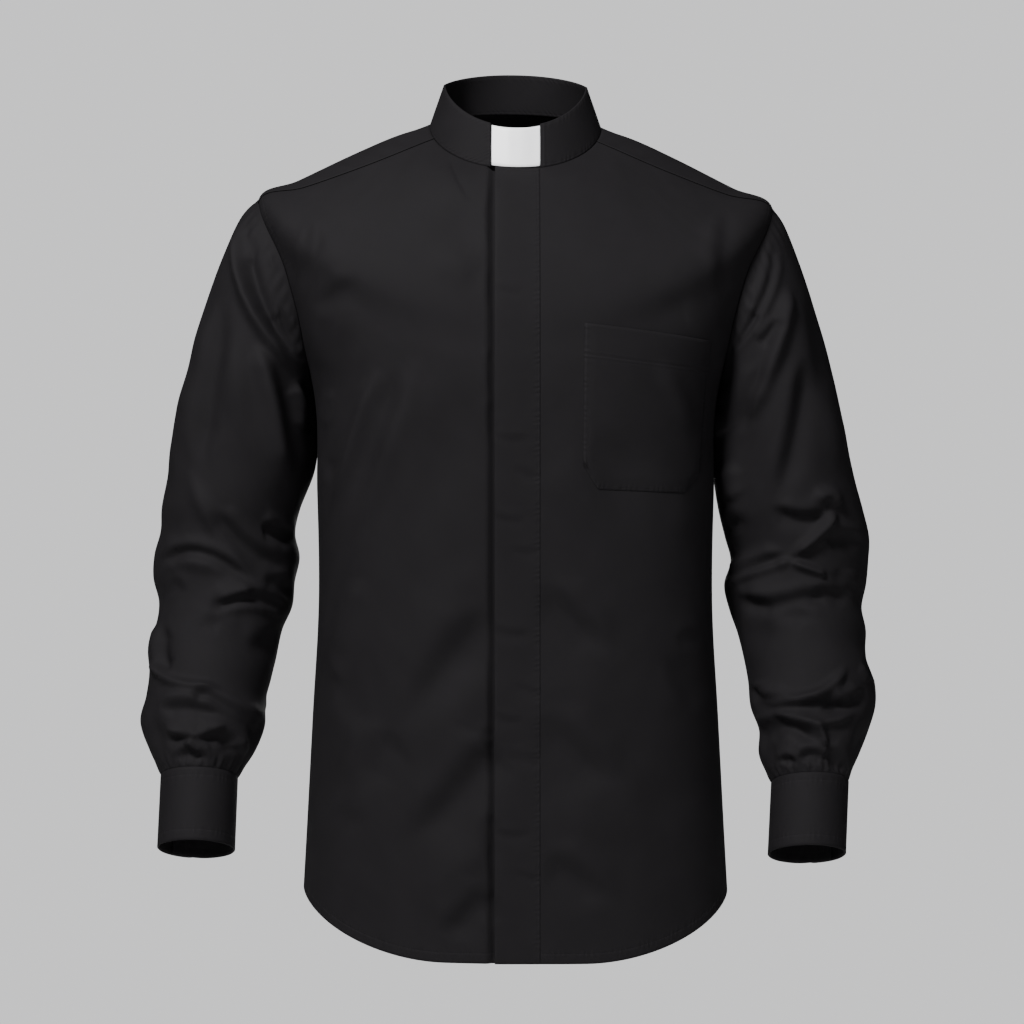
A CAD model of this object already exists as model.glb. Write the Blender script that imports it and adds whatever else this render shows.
# %% [markdown]
# # A clergy shirt in black poplin
# The shirt is shown worn, hollow, with nobody in it: fronts, yoke, back, sleeves, cuffs, a standing
# collar and its white tab. Its form could come from a cloth simulation over a body, or from surfaces
# whose sizes are known. Known surfaces are used here, because every edge then meets its neighbour
# exactly where the frame has it, and each fold stands where a worn shirt folds.

import math

import bpy
import numpy as np
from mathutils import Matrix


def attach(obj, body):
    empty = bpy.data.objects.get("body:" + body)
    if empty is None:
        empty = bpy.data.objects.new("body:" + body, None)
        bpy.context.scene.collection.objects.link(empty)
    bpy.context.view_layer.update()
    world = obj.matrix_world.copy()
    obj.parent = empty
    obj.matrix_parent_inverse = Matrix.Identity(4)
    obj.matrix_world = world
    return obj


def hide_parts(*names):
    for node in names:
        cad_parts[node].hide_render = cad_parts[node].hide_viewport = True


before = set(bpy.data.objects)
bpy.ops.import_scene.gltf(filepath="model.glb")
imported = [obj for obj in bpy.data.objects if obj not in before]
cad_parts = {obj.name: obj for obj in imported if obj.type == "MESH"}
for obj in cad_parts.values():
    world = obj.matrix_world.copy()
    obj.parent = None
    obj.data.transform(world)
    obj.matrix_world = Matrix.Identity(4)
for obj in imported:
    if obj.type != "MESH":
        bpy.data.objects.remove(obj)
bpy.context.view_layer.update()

# %% [markdown]
# ## Sizes
# All tables are in millimetres, as a pattern cutter would note them, and meshes are made in metres.
# The frame holds the same tables, so the looks and the solids agree.

# %% sizes
MM = 0.001
CLOTH = 1.2  # one layer of cloth in the frame
THIN = 0.7  # a layer of cloth as it is drawn
BAND = 2.0  # interlined collar and cuffs
TAB = 1.0
SEAM = 0.34  # gap between two pieces sewn edge to edge
LAY = 0.3  # gap between two pieces that lie on each other
BUTTON_SPACE = 1.3
LEAN, SHOULDER_LEAN = 0.0085, 0.0085  # the left side hangs lower, and more so over the shoulders
STEP = 2.75  # longest side of a drawn cell
HIDDEN_STEP = 3.4  # the same on the yoke and back

COLLAR_END = 22.8  # from the middle to the collar's end, at its foot and at its top
TAB_HALF = 34.5
FLY_FROM, FLY_TO = -18.3, 21.6
LEFT_FRONT_EDGE = -16.6
RIGHT_FRONT_EDGE = 12
RIGHT_FLY_COLUMN = 26
ARMHOLE_FRONT, ARMHOLE_BACK = 27, 24  # degrees round the body from its side
HOLE_LINE = 5  # girth line of the armhole's middle; the hole reaches one line up and down from it
YOKE_FRONT, YOKE_BACK = 24, 48  # degrees of the armhole from its top
YOKE_CENTRE = 3.7  # girth line of the yoke seam at the centre back
UNDERARM_LINE, UNDERARM_Z = 6, -240  # girth lines below this one are 100 mm apart
HEM_FRONT, HEM_BACK, HEM_SIDE = -752, -767, -699
HEM_FLAT = 18  # degrees each side of the centre where the hem runs level
ROW_TURN = 12  # degrees of the armhole to a row of a panel
FRONT_ROWS, BACK_ROWS, SKIRT_ROWS = 13, 11, 14  # down a front's armhole, the back's, and to the hem
FLY_COLUMNS, NECK_COLUMNS = 2, 5  # of a front: under the placket, and along the neck
FRONT_COLUMNS, BACK_COLUMNS = 12, 10  # from the closing or the centre back to the armhole
YOKE_ROWS, YOKE_COLUMNS = 7, 16  # from the neck outwards, and from the centre back to the front seam

print("cloth", THIN, "mm, drawn in cells of", STEP, "and", HIDDEN_STEP, "mm")


# %% tables of the body's girths and the sleeves' sections
def table(columns, text):
    """A written table, a row of numbers to a line, as one array for each named column."""
    names = columns.split()
    return dict(zip(names, np.array(text.split(), float).reshape(-1, len(names)).T))


GIRTH_COLUMNS = "half front back z_front z_side z_back square roll"
BODY = table(GIRTH_COLUMNS, """
    79 -78 62 -47 0 21 2.1 1.1
    112 -97 80 -68 -11 4 2.15 1.3
    152 -112 98 -99 -29 -26 2.2 1.6
    200 -125 112 -136 -53 -66 2.3 1.9
    236 -133 120 -170 -70 -105 2.35 2
    229 -137 124 -205 -126 -160 2.1 2
    187 -138 122 -240 -240 -240 2.4 2
    182 -134 108 -340 -340 -340 2.4 2
    180.5 -129 97 -440 -440 -440 2.4 2
    186 -128 101 -540 -540 -540 2.35 2
    191.5 -130 111 -640 -640 -640 2.3 2
    197 -132 117 -740 -740 -740 2.3 2
    201 -134 120 -840 -840 -840 2.3 2
""")
COLLAR_TOP = table(GIRTH_COLUMNS, "66 -71 56 -8 38 57 2.1 1.25")
YOKE_SEAM = table("line around", """
    0 68.7
    1 65.6
    2 66.4
    3 70.5
    4.0865 79
""")
SLEEVE_COLUMNS = "out out_z inn inn_z y deep pitch"
SLEEVE = {
    "right": table(SLEEVE_COLUMNS, """
    235 -68 186 -240 -9 60 0
    251.5 -86 187 -243 -9 62 0
    267 -119 187.5 -247 -9 64 0
    281 -156 186.3 -252 -8 66 0
    295 -200 185.5 -258 -7 67 0
    305 -246 184.4 -268 -6 67 0
    313 -286 183.3 -290 -5 66 1
    320 -322 187 -322 -3 65 2
    326.5 -353 199 -353 -1 65 4
    328 -376 204 -376 2 64 6
    334 -398 200 -398 4 64 8
    335 -420 204.5 -420 4 65 11
    329.5 -442 206.5 -442 1 64 13
    331 -463 215 -463 -6 61 16
    337.5 -485 219.5 -485 -14 58 18
    335.5 -507 224 -507 -22 57 19
    337.5 -529 229 -529 -30 56 19
    341.5 -550 228.5 -550 -39 56 19
    333.5 -571 236 -571 -48 51 19
    325 -587 246 -587 -56 44 19
    319.5 -597 252 -597 -60 39 19
"""),
    "left": table(SLEEVE_COLUMNS, """
    234 -67 186 -240 -9 60 0
    246.5 -86 187 -243 -9 62 0
    260 -119 187.5 -247 -9 64 0
    272.5 -155 186.3 -252 -8 66 0
    286 -198 185.5 -258 -7 67 0
    297 -245 184.4 -268 -6 67 0
    305 -286 183.3 -290 -5 66 1
    313 -322 183.4 -322 -3 65 2
    321 -351 187.5 -350 -1 65 4
    327 -376 194 -376 2 64 6
    326.5 -398 199.5 -398 4 64 8
    324.5 -420 193.5 -420 4 65 11
    320 -442 198 -442 1 64 13
    323 -463 205 -463 -6 61 16
    322 -485 210 -485 -14 58 18
    328.5 -507 213.5 -507 -22 57 19
    329 -529 215 -529 -30 56 19
    322 -550 222 -550 -39 54 19
    312.5 -571 221 -571 -48 50 19
    304 -587 227 -587 -56 44 19
    300 -597 232 -597 -60 39 19
"""),
}
CUFF_HIGH, CUFF_OVERLAP, CUFF_SLIT = 65.5, 20, 285
CUFF_DRIFT = {"right": 0.5, "left": -5}
POCKET_TOP = ((60.5, -188), (174, -199))  # inner and outer corner, x and z
POCKET_FOOT = ((59, -334), (164, -337))
POCKET_CUT_ACROSS, POCKET_CUT_UP = 0.125, 0.14  # cut lower corners, as shares of width and height
POCKET_BAND = 28
SLEEVE_END = 20  # the last sleeve section, at the cuff
SIDES = (("right", -1), ("left", 1))
print("body girth lines", len(BODY["half"]), "sleeve sections", len(SLEEVE["right"]["out"]))

# %% [markdown]
# ## Folds
# Worn cloth folds where it is held and where it has length to spare: from the armholes to the waist,
# at the elbows, above the cuffs. The folds could be carved by hand or shaken out of a simulation.
# Here each is written down as a row, because a row can be moved, widened or softened on its own.
# A fold is a bowed line through three points seen from the front, with a width, a height (a trough
# is negative), and how crisp it is: 0 is a soft roll with long ends, 1 a narrow crease with short
# ones. It narrows and sinks towards both ends, as folded cloth does between two holds.

# %% folds of the body
FOLD_COLUMNS = "x0 x1 x2 z0 z1 z2 wide high crisp"
FRONT_FOLDS = table(FOLD_COLUMNS, """
    -180 -184 -193 -92 -122 -164 7 -3 0
    -198 -165 -118 -178 -190 -196 28 1.8 0
    198 165 118 -178 -190 -196 28 1.8 0
    -140 -160 -184 -146 -162 -172 9 -1.9 0.1
    -183 -169 -161 -184 -205 -229 12 -1 0.1
    -122 -142 -171 -227 -287 -371 6 2 0.1
    -86 -107 -151 -218 -284 -406 13 3.2 0
    -107 -126 -159 -228 -279 -363 11 -3.4 0.1
    -61 -74 -98 -231 -297 -389 22 -3.4 0
    -164 -169 -173 -245 -263 -284 6 1 0.2
    -172 -168 -164 -305 -321 -326 6 -1 0.2
    -35 -51 -85 -85 -91 -96 20 -2.4 0
    -24 -51 -85 -143 -136 -144 18 1.6 0
    -20 -25 -20 -64 -98 -130 4 -0.6 0.2
    -20 -24 -20 -135 -159 -178 4 -0.5 0.2
    -20 -24 -20 -209 -230 -257 4 -0.6 0.2
    -20 -24 -20 -257 -273 -296 5 -0.7 0.2
    -21 -60 -106 -438 -480 -552 15 -4 0.1
    -24 -67 -134 -398 -440 -515 20 1.6 0
    -111 -127 -143 -544 -571 -608 14 -3 0.1
    -22 -51 -111 -491 -528 -607 26 2.6 0
    -21 -46 -102 -554 -588 -652 15 -4.5 0.2
    -22 -51 -88 -646 -668 -708 18 2.2 0
    -22 -43 -67 -683 -704 -728 11 -3.2 0.2
    -172 -151 -134 -505 -531 -571 13 -1.4 0
    -164 -169 -172 -431 -452 -471 5 -0.8 0.2
    -169 -164 -148 -468 -492 -513 7 0.8 0.1
    -135 -151 -167 -412 -449 -492 9 1.8 0.2
    -167 -146 -122 -618 -626 -626 9 -0.75 0.1
    -20 -26 -20 -543 -554 -570 6 -1.1 0.3
    -20 -26 -20 -620 -638 -673 7 -1.1 0.3
    -20 -26 -20 -688 -704 -723 6 -0.9 0.3
    190 183 181 -78 -112 -168 8 -1.8 0
    160 142 129 -165 -166 -182 12 -0.8 0
    124 143 156 -216 -250 -292 10 1.6 0.1
    60 76 92 -282 -322 -388 22 -3.4 0
    152 147 152 -329 -361 -398 14 0.8 0
    25 52 88 -414 -445 -478 12 -3.4 0.1
    25 55 96 -527 -561 -596 14 -3.6 0.1
    25 55 90 -654 -672 -700 12 -3.2 0.1
    25 60 105 -466 -511 -548 26 1.6 0
    25 60 108 -596 -622 -648 24 1.6 0
    129 147 156 -481 -508 -537 11 -1.5 0.1
    142 155 171 -465 -463 -464 7 -0.8 0.2
    108 118 134 -579 -616 -655 18 -1.8 0
""")
BACK_FOLDS = table(FOLD_COLUMNS, """
    -70 -78 -84 -120 -230 -360 20 4 0
    66 76 88 -120 -240 -380 20 3.5 0
    -150 -128 -110 -150 -190 -250 16 -3 0
    150 132 116 -155 -200 -262 16 -3 0
    -150 -60 40 -420 -440 -432 18 -4 0
    -40 60 150 -470 -474 -446 17 -4 0
    -40 -70 -96 -500 -600 -720 26 4 0
    50 74 88 -510 -610 -735 26 4 0
""")

# %% folds of the sleeves, x measured from the middle of the shirt
SLEEVE_FOLDS = {
    "right": table(FOLD_COLUMNS, """
    243 236 187 -84 -160 -228 6.5 -6 0.4
    250 244 194 -88 -165 -238 6 3.2 0.4
    236 242 240 -100 -118 -136 5 2.7 0.3
    212 201 188 -172 -193 -210 7 -6 0.4
    216 209 192 -173 -195 -218 5 3.4 0.4
    223 219 212 -112 -124 -137 4 -2.2 0.4
    227 222 216 -98 -120 -143 4 2.2 0.4
    220 215 210 -100 -115 -129 3 -1.4 0.4
    197 187 186 -238 -259 -288 6.7 -4.3 0.4
    202 194 191 -235 -259 -295 5 2 0
    214 204 198 -236 -290 -350 22.4 -3.8 0
    266 281 290 -160 -245 -322 9 -5.3 0.2
    233 220 210 -204 -261 -338 10 4.7 0.3
    256 251 244 -186 -245 -300 14 2.4 0
    224 208 201 -218 -270 -327 8 -3 0.2
    294 306 316 -218 -282 -344 10 2.7 0.1
    299 277 236 -312 -360 -417 8 2.8 0
    272 246 209 -352 -382 -404 8 -4.1 0.3
    231 217 198 -369 -372 -381 6.7 -3.9 0.3
    326 286 235 -406 -392 -422 6.2 -4.9 0.3
    326 286 237 -413 -401 -427 8 3.8 0
    226 211 195 -411 -423 -429 7.8 -3.7 0.2
    280 244 206 -447 -432 -446 7.5 -4.1 0.3
    272 241 207 -452 -442 -455 6 2.9 0.1
    237 253 272 -426 -431 -438 5 3.2 0.2
    319 323 313 -457 -485 -504 5.6 -4.7 0.3
    331 307 261 -492 -510 -513 5 3.4 0.3
    289 263 223 -517 -528 -552 5.6 -5.7 0.4
    288 258 223 -522 -535 -555 5 2.9 0.3
    321 295 259 -535 -528 -540 5.6 -4.2 0.2
    329 299 258 -541 -525 -535 8 2.3 0
    316 286 257 -548 -556 -544 4 2.6 0.3
    316 297 287 -563 -556 -560 5.6 -3.7 0.2
    285 261 247 -560 -555 -579 6.2 -4.8 0.3
    307 289 272 -580 -569 -581 5.6 -3.7 0.2
    247 237 246 -547 -565 -589 10.1 -5.2 0
    325 325 316 -536 -558 -582 6 -3.2 0
    246 230 213 -480 -472 -463 10 -2.9 0
    287 274 258 -466 -454 -457 7 -1.7 0
    314 306 299 -417 -423 -434 6 -1.7 0
    293 288 279 -558 -566 -573 3.5 2.3 0.3
"""),
    "left": table(FOLD_COLUMNS, """
    196 196 200 -236 -290 -345 13.4 -2.9 0
    230 225 191 -106 -152 -207 6.5 -6 0.5
    236 230 193 -108 -155 -214 6 4.1 0.4
    212 202 189 -166 -182 -205 6.5 -4.8 0.5
    215 207 193 -163 -182 -201 4 2.7 0.4
    217 212 204 -109 -127 -148 4 2.2 0.3
    221 217 209 -111 -130 -150 4 -1.8 0.3
    247 235 206 -145 -205 -279 8 4.7 0.4
    223 210 196 -214 -248 -283 8 -3 0.2
    259 250 233 -206 -271 -346 9 -5 0.2
    216 227 237 -199 -189 -175 5 -2.6 0.3
    261 271 275 -150 -200 -250 10 -2.6 0.1
    280 289 294 -236 -282 -323 12 2.4 0
    181 186 191 -258 -275 -283 5 2.7 0.3
    194 195 203 -305 -328 -344 8 3.2 0.2
    265 285 289 -344 -337 -351 6.5 4 0.3
    231 257 285 -346 -356 -349 6.7 -4.5 0.2
    289 275 247 -349 -371 -395 5 4.8 0.3
    277 297 321 -378 -373 -382 6.7 -3.7 0.2
    189 200 210 -377 -362 -372 9 -3.9 0
    192 217 245 -414 -402 -390 6.7 -5.3 0.3
    190 222 254 -420 -406 -396 5 3.8 0.3
    248 265 283 -398 -404 -410 4 3.8 0.4
    200 237 285 -428 -433 -416 7 -3.9 0.3
    262 284 309 -435 -424 -435 6.2 -3.7 0.2
    229 255 275 -453 -443 -453 6 -2.2 0
    206 224 233 -433 -437 -443 6.7 -1.6 0.2
    296 300 315 -402 -415 -426 6.7 -2.7 0.1
    214 215 219 -440 -465 -491 12 -2.9 0
    209 224 254 -508 -521 -520 6.2 -4.2 0.3
    214 266 300 -525 -518 -489 5 3.9 0.4
    277 294 318 -512 -522 -510 6.7 -4.8 0.3
    234 266 304 -527 -523 -526 5 -3.1 0.3
    232 266 310 -531 -541 -530 4.5 3.4 0.4
    216 242 272 -563 -539 -560 6.7 -6.2 0.4
    268 273 276 -539 -550 -562 4 3.4 0.4
    276 287 295 -562 -572 -593 6.2 -4 0.2
    251 264 279 -574 -566 -575 5 -3.7 0.3
    235 243 252 -578 -572 -578 4 -3.1 0.3
    314 321 324 -487 -496 -507 5 -3.5 0.3
    309 306 301 -534 -560 -583 7.8 -2.9 0
    214 219 229 -548 -566 -587 7.8 -4.2 0
    208 210 216 -502 -517 -529 6.7 -3.3 0
"""),
}
SLEEVE_BACK_FOLDS = table(FOLD_COLUMNS, """
    222 236 252 -130 -220 -320 14 4 0
    200 256 318 -372 -392 -380 11 -5 0
    204 262 322 -404 -424 -410 12 6 0
    206 262 322 -446 -458 -448 11 -4.5 0
    214 262 318 -486 -496 -482 11 5 0
    224 250 300 -528 -540 -560 10 4.5 0
""")
sleeve_counts = [len(SLEEVE_FOLDS[word]["wide"]) for word, _ in SIDES]
print("folds", len(FRONT_FOLDS["wide"]), len(BACK_FOLDS["wide"]), *sleeve_counts)


# %% helpers for curves and folds
def mix(a, b, k):
    """a at k = 0 and b at k = 1."""
    return a + (b - a) * k


def ease(k):
    """Smooth step: 3k^2 - 2k^3 between 0 and 1."""
    c = np.clip(k, 0, 1)
    return c * c * (3 - 2 * c)


def read_table(rows, place):
    """A smooth curve through a table's rows, read at real row numbers.
    Between rows i and i+1, with k the rest: the cubic that has the rows' values at its ends, and as
    its slopes half the change from the row before to the row after (whole at the first and last)."""
    place = np.asarray(place, float)
    last = len(next(iter(rows.values()))) - 1
    i = np.clip(np.floor(place).astype(int), 0, last - 1)
    k = place - i
    out = {}
    for name, values in rows.items():
        slope = np.gradient(values)
        out[name] = (
            (2 * k**3 - 3 * k**2 + 1) * values[i]
            + (k**3 - 2 * k**2 + k) * slope[i]
            + (3 * k**2 - 2 * k**3) * values[i + 1]
            + (k**3 - k**2) * slope[i + 1]
        )
    return out


# %% the height of folds
FOLD_STEPS = 8  # straight pieces that stand for a fold's bowed line
FOLD_REACH = 3.6  # widths from the line, beyond which a fold no longer counts
RIDGE = 1.5  # how much higher a ridge stands than its row says
OVERHANG, HOLLOW = 0.7, 0.45  # the two parts of a trough
FRONT_UP, BACK_UP = -0.6, 0.3  # sideways lean of up, which tells a fold's upper side
BODY_RISE, SLEEVE_RISE = 1.2, 1.15  # how much higher folds stand than their rows say


def fold_height(folds, x, z, lean):
    """How far the folds raise the cloth at (x, z) seen from the front.
    d is the signed distance to a fold's bowed line, positive on its upper side, where up leans
    sideways by lean, and q = d / width, with a crisp fold's width up to 0.3 less. A ridge
    (high > 0) is a bell, 1.5 high exp(-q^2). A trough (high < 0) is an overhang: a crest above the
    line, a steep face at it and a hollow below, 0.7 q exp((1 - q^2) / 2) - 0.45 exp(-q^2) times its
    depth. Both sink smoothly to 0 over the last half (soft) to 0.22 (crisp) of their length, and
    narrow to 0.6 of their width there."""
    height = np.zeros_like(x)
    t = np.linspace(0, 1, FOLD_STEPS + 1)
    for n in range(len(folds["wide"])):
        row = {name: values[n] for name, values in folds.items()}
        px, pz = (
            (1 - t) ** 2 * row[c + "0"]
            + 2 * t * (1 - t) * (2 * row[c + "1"] - (row[c + "0"] + row[c + "2"]) / 2)
            + t**2 * row[c + "2"]
            for c in "xz"
        )
        reach = FOLD_REACH * row["wide"]
        near = (x > px.min() - reach) & (x < px.max() + reach)
        near &= (z > pz.min() - reach) & (z < pz.max() + reach)
        if not near.any():
            continue
        qx, qz = x[near], z[near]
        nearest = np.full(qx.shape, np.inf)
        along, turned = np.zeros_like(qx), np.zeros_like(qx)
        for i in range(FOLD_STEPS):
            bx, bz = px[i + 1] - px[i], pz[i + 1] - pz[i]
            k = np.clip(((qx - px[i]) * bx + (qz - pz[i]) * bz) / (bx * bx + bz * bz), 0, 1)
            dx, dz = qx - px[i] - k * bx, qz - pz[i] - k * bz
            far = np.hypot(dx, dz)
            closer = far < nearest
            nearest = np.where(closer, far, nearest)
            along = np.where(closer, (i + k) / FOLD_STEPS, along)
            turned = np.where(closer, np.sign(bx * dz - bz * dx), turned)
        upper = np.sign((px[-1] - px[0]) - (pz[-1] - pz[0]) * lean) or 1.0
        fade = mix(2, 4.5, min(row["crisp"] * 3, 1))
        ends = ease(along * fade) * ease((1 - along) * fade)
        q = turned * upper * nearest / (row["wide"] * (1 - 0.3 * row["crisp"]) * mix(0.6, 1, ends))
        bell = np.exp(-q * q)
        overhang = OVERHANG * q * np.exp((1 - q * q) / 2) - HOLLOW * bell
        ridge = RIDGE * row["high"] * bell
        height[near] += ends * (ridge if row["high"] > 0 else -row["high"] * overhang)
    return height


# %% helpers for directions on a grid of points
FRONT, BACK, UP = np.array([0, -1, 0]), np.array([0, 1, 0]), np.array([0, 0, 1])


def unit(v):
    """Directions of unit length."""
    return v / np.maximum(np.linalg.norm(v, axis=-1, keepdims=True), 1e-12)


def square_to(grid, facing, tube=False):
    """Unit directions square to a grid of points (rows, columns, 3): the cross product of its row
    and column differences, turned to agree with facing. A tube's columns run round and meet."""
    down = np.gradient(grid, axis=0)
    if tube:
        across = np.roll(grid, -1, axis=1) - np.roll(grid, 1, axis=1)
    else:
        across = np.gradient(grid, axis=1)
    out = unit(np.cross(down, across))
    return out if (out * facing).sum() > 0 else -out


def raised(grid, outs, lift, facing):
    """A grid lifted along its outward directions, and the directions of the lifted grid."""
    grid = grid + outs * lift[..., None]
    return grid, square_to(grid, facing)


def from_sides(across):
    """Distance to the nearer of a grid's two side edges."""
    return np.minimum(across, across[:, -1:] - across)


# %% the plain body and its folds
def on_girth(ring, around):
    """A point of a girth line at an angle round the body, 0 at the front centre, 90 over the
    wearer's left: x = half r sin a, y = middle - deep r cos a, with the squared ellipse
    r = (|sin a|^n + |cos a|^n)^(-1/n), and z = mix(side, centre, |r cos a|^roll)."""
    s, c = np.sin(np.radians(around)), np.cos(np.radians(around))
    r = (np.abs(s) ** ring["square"] + np.abs(c) ** ring["square"]) ** (-1 / ring["square"])
    middle, deep = (ring["front"] + ring["back"]) / 2, (ring["back"] - ring["front"]) / 2
    centre = np.where(c > 0, ring["z_front"], ring["z_back"])
    z = mix(ring["z_side"], centre, np.abs(r * c) ** ring["roll"])
    return np.stack([ring["half"] * r * s, middle - deep * r * c, z], -1)


def plain_body(line, around):
    """The body without folds, between the girth lines of its table."""
    return on_girth(read_table(BODY, line), around)


SMALL_LINE, SMALL_TURN = 0.02, 0.4  # steps for a direction: girth lines, and degrees


def out_of(surface, line, around, side=1):
    """Outward directions of a surface, from small steps along it and round it."""
    down = surface(line + SMALL_LINE, around * side) - surface(line - SMALL_LINE, around * side)
    turned = (around + SMALL_TURN) * side, (around - SMALL_TURN) * side
    return unit(np.cross(down, surface(line, turned[0]) - surface(line, turned[1]))) * side


def body(line, around):
    """The body with its folds, which fade out at the sides where the sleeves hang close."""
    line, around = np.broadcast_arrays(np.asarray(line, float), np.asarray(around, float))
    point = plain_body(line, around)
    forward = np.cos(np.radians(around))
    x, z = point[..., 0], point[..., 2]
    front, back = fold_height(FRONT_FOLDS, x, z, FRONT_UP), fold_height(BACK_FOLDS, x, z, BACK_UP)
    rise = BODY_RISE * np.where(forward > 0, front, back)
    return point + out_of(plain_body, line, around) * (ease(np.abs(forward) * 3) * rise)[..., None]


def around_on(ring, x):
    """Angle round the body where a girth line passes a distance x from the middle."""
    across = np.minimum(np.abs(x) / ring["half"], 1)
    forward = (1 - across ** ring["square"]) ** (1 / ring["square"])
    return np.sign(x) * np.degrees(np.arctan2(across, forward))


def around_at(line, x):
    """The same for the body's girth lines."""
    return around_on(read_table(BODY, line), x)


def line_at(x, z):
    """Girth line of the body's front at a height, found by halving."""
    low, high = np.zeros_like(x), np.full_like(x, len(BODY["half"]) - 1)
    for _ in range(24):
        half = (low + high) / 2
        above = plain_body(half, around_at(half, x))[..., 2] > z
        low, high = np.where(above, half, low), np.where(above, high, half)
    return (low + high) / 2


# %% hem, armhole and seams on the body
def hem_line(around):
    """Girth line of the hem, which rises from the two centres to the side seams."""
    off = np.abs(around)
    centre = np.where(off < 90, HEM_FRONT, HEM_BACK)
    from_centre = np.where(off < 90, off, 180 - off)
    height = mix(centre, HEM_SIDE, ease((from_centre - HEM_FLAT) / (90 - HEM_FLAT)))
    return UNDERARM_LINE + (UNDERARM_Z - height) / 100


def armhole(turn):
    """Line and angle of the armhole: turn 0 at its top, 90 at the front, 180 under the arm."""
    s = np.sin(np.radians(turn))
    around = 90 + np.where(s > 0, -ARMHOLE_FRONT * s, -ARMHOLE_BACK * s)
    return HOLE_LINE - np.cos(np.radians(turn)), around


def yoke_seam(share):
    """Line and angle of the seam of yoke and front, from the neck (0) to the armhole (1)."""
    line = YOKE_SEAM["line"][-1] * share
    return line, read_table(YOKE_SEAM, np.minimum(line, 3.999))["around"]


def back_seam(share):
    """The seam of yoke and back, from the centre back (0) to the armhole (1)."""
    end_line, end_around = armhole(-YOKE_BACK)
    return YOKE_CENTRE + (end_line - YOKE_CENTRE) * share**2, mix(180, end_around, share)


underarm = plain_body(np.array([float(UNDERARM_LINE)]), np.array([90.0]))[0]
print("underarm point", underarm.round(1))

# %% [markdown]
# ## Cloth as a closed thin shell
# Cloth could be a bare sheet, but light would then fall through its edges. Each piece is a closed
# shell instead: the outer face, an inner face a layer inside it, and a rounded turned edge. Each
# carries its sewing with it: how far each point is from a stitched edge, from a second stitched
# line, and how far along the seam it is, all in millimetres for the material to read.


# %% helpers for shells
def lengths(grid, axis):
    """Distance along a grid's rows (axis 0) or columns (axis 1) from its first one."""
    steps = np.linalg.norm(np.diff(grid, axis=axis), axis=-1)
    return np.insert(np.cumsum(steps, axis=axis), 0, 0, axis=axis)


def inwards(grid):
    """Directions from each edge point into the cloth, and zero elsewhere."""
    out = np.zeros_like(grid)
    out[0] += unit(grid[1] - grid[0])
    out[-1] += unit(grid[-2] - grid[-1])
    out[:, 0] += unit(grid[:, 1] - grid[:, 0])
    out[:, -1] += unit(grid[:, -2] - grid[:, -1])
    return out


def pull_in(grid):
    """Draws the outermost rows and columns back within the cloth by half the gap at a seam."""
    return grid + inwards(grid) * (SEAM / 2)


FAR = 99.0  # mm, for points with no stitched edge near them
TURNED_EDGE = 0.45  # how far an edge bulges, as a share of the thickness


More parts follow.
